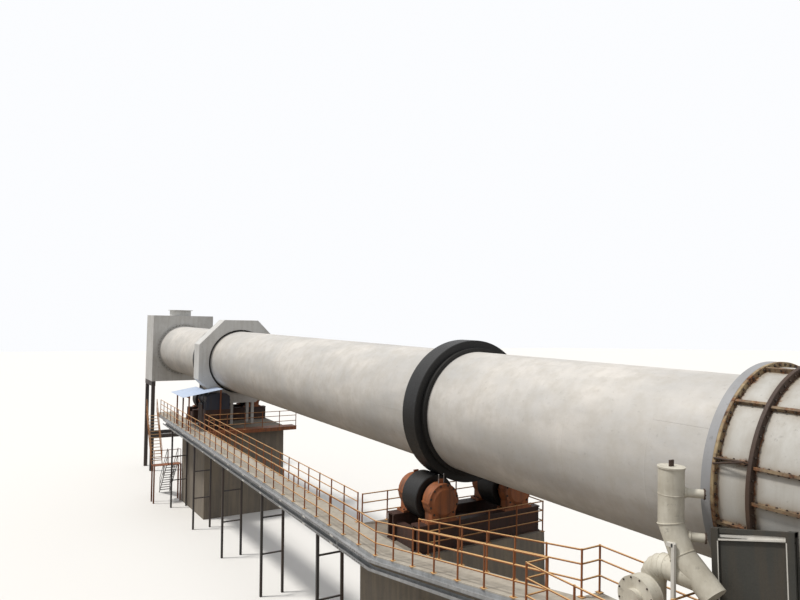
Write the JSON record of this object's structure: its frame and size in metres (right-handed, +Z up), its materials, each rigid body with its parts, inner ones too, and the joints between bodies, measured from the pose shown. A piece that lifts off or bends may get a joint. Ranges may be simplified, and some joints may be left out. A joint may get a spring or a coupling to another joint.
{
  "type": "rotary kiln, 1:2 scale model",
  "caption": "Sloping rotary kiln on tyres and rollers with girth gear, drive, feed housing, discharge hood, piers and walkway, at half size.",
  "frame": {"origin": "on the ground under pier 1, in the kiln's middle plane, below the first tyre", "axes": "+X along the kiln to its discharge end, +Y across to the side without a walkway, +Z up"},
  "size_m": [30.1905, 3.9215, 7.0955],
  "materials": {
    "shell_paint": "pale beige-grey paint, dusty",
    "brick": "fired refractory brick",
    "cast_steel": "dark cast steel",
    "rolled_steel": "dark greased steel with a rolled tread",
    "orange_paint": "orange-brown paint",
    "concrete": "board-marked concrete, streaked",
    "grey_paint": "pale grey paint with rust at the edges",
    "rusty_steel": "bolted flange with rust",
    "roof_sheet": "pale blue coated sheet",
    "dark_steel": "dark painted steel",
    "galvanised": "galvanised steel",
    "rail_paint": "orange rail paint, chalky"
  },
  "bodies": {
    "structure": {"bearings_1": "orange_paint", "bearings_2": "orange_paint", "base_frame_1": "orange_paint", "base_frame_2": "orange_paint", "pier_1": "concrete", "pier_2": "concrete", "thrust_bracket": "orange_paint", "pinion_bearings": "orange_paint", "drive_base": "orange_paint", "reducer": "orange_paint", "motor": "grey_paint", "gear_guard": "grey_paint", "canopy_roof": "roof_sheet", "canopy_posts": "orange_paint", "hood_seal": "grey_paint", "hood_flanges": "rusty_steel", "hood_barrel": "grey_paint", "hood_ribs": "rusty_steel", "hood_end_plate": "grey_paint", "hood_throat": "grey_paint", "hood_base": "dark_steel", "cooling_duct": "grey_paint", "cooling_fan": "grey_paint", "feed_housing": "grey_paint", "feed_seal": "grey_paint", "feed_support": "dark_steel", "walkway_floor": "galvanised", "walkway_beams": "galvanised", "walkway_trestles": "dark_steel", "handrail_outer": "rail_paint", "handrail_inner": "rail_paint", "cable_trays": "galvanised", "stair_upper": "galvanised", "stair_landing": "rail_paint", "stair_lower": "galvanised", "platform_2": "orange_paint", "platform_rails": "rail_paint"},
    "kiln": {"kiln_shell": "shell_paint", "kiln_lining": "brick", "nose_ring": "cast_steel", "feed_dam": "cast_steel", "tyre_1": "rolled_steel", "tyre_2": "rolled_steel", "tyre_pads_1": "cast_steel", "tyre_pads_2": "cast_steel", "girth_gear": "cast_steel", "gear_springs": "cast_steel"},
    "roller_1_near": {"roller_1_near": "rolled_steel"},
    "roller_1_far": {"roller_1_far": "rolled_steel"},
    "roller_2_near": {"roller_2_near": "rolled_steel"},
    "roller_2_far": {"roller_2_far": "rolled_steel"},
    "thrust_roller": {"thrust_roller": "rolled_steel"},
    "pinion": {"pinion": "rolled_steel"}
  },
  "joints": [
    {"name": "kiln_spin", "type": "hinge", "parent": "structure", "child": "kiln", "pos_m": [0, 0, 4.45], "axis": [0.9992, 0, -0.04], "continuous": true},
    {"name": "roller_1_near_spin", "type": "hinge", "parent": "structure", "child": "roller_1_near", "pos_m": [-0.05487, -0.79265, 3.07819], "axis": [0.9992, 0, -0.04], "continuous": true},
    {"name": "roller_1_far_spin", "type": "hinge", "parent": "structure", "child": "roller_1_far", "pos_m": [-0.05487, 0.79265, 3.07819], "axis": [0.9992, 0, -0.04], "continuous": true},
    {"name": "roller_2_near_spin", "type": "hinge", "parent": "structure", "child": "roller_2_near", "pos_m": [-14.09365, -0.79265, 3.63974], "axis": [0.9992, 0, -0.04], "continuous": true},
    {"name": "roller_2_far_spin", "type": "hinge", "parent": "structure", "child": "roller_2_far", "pos_m": [-14.09365, 0.79265, 3.63974], "axis": [0.9992, 0, -0.04], "continuous": true},
    {"name": "pinion_spin", "type": "hinge", "parent": "structure", "child": "pinion", "pos_m": [-12.97812, -0.7, 3.75572], "axis": [0.9992, 0, -0.04], "continuous": true},
    {"name": "thrust_roller_spin", "type": "hinge", "parent": "structure", "child": "thrust_roller", "pos_m": [-13.67806, 0, 3.82619], "axis": [0.04, 0, 0.9992], "continuous": true}
  ],
  "couplings": [
    {"joint": "roller_1_near_spin", "follows": "kiln_spin", "ratio": -3.2267},
    {"joint": "roller_1_far_spin", "follows": "kiln_spin", "ratio": -3.2267},
    {"joint": "roller_2_near_spin", "follows": "kiln_spin", "ratio": -3.2267},
    {"joint": "roller_2_far_spin", "follows": "kiln_spin", "ratio": -3.2267},
    {"joint": "pinion_spin", "follows": "kiln_spin", "ratio": -6},
    {"joint": "thrust_roller_spin", "follows": "kiln_spin", "ratio": -5.3182}
  ]
}
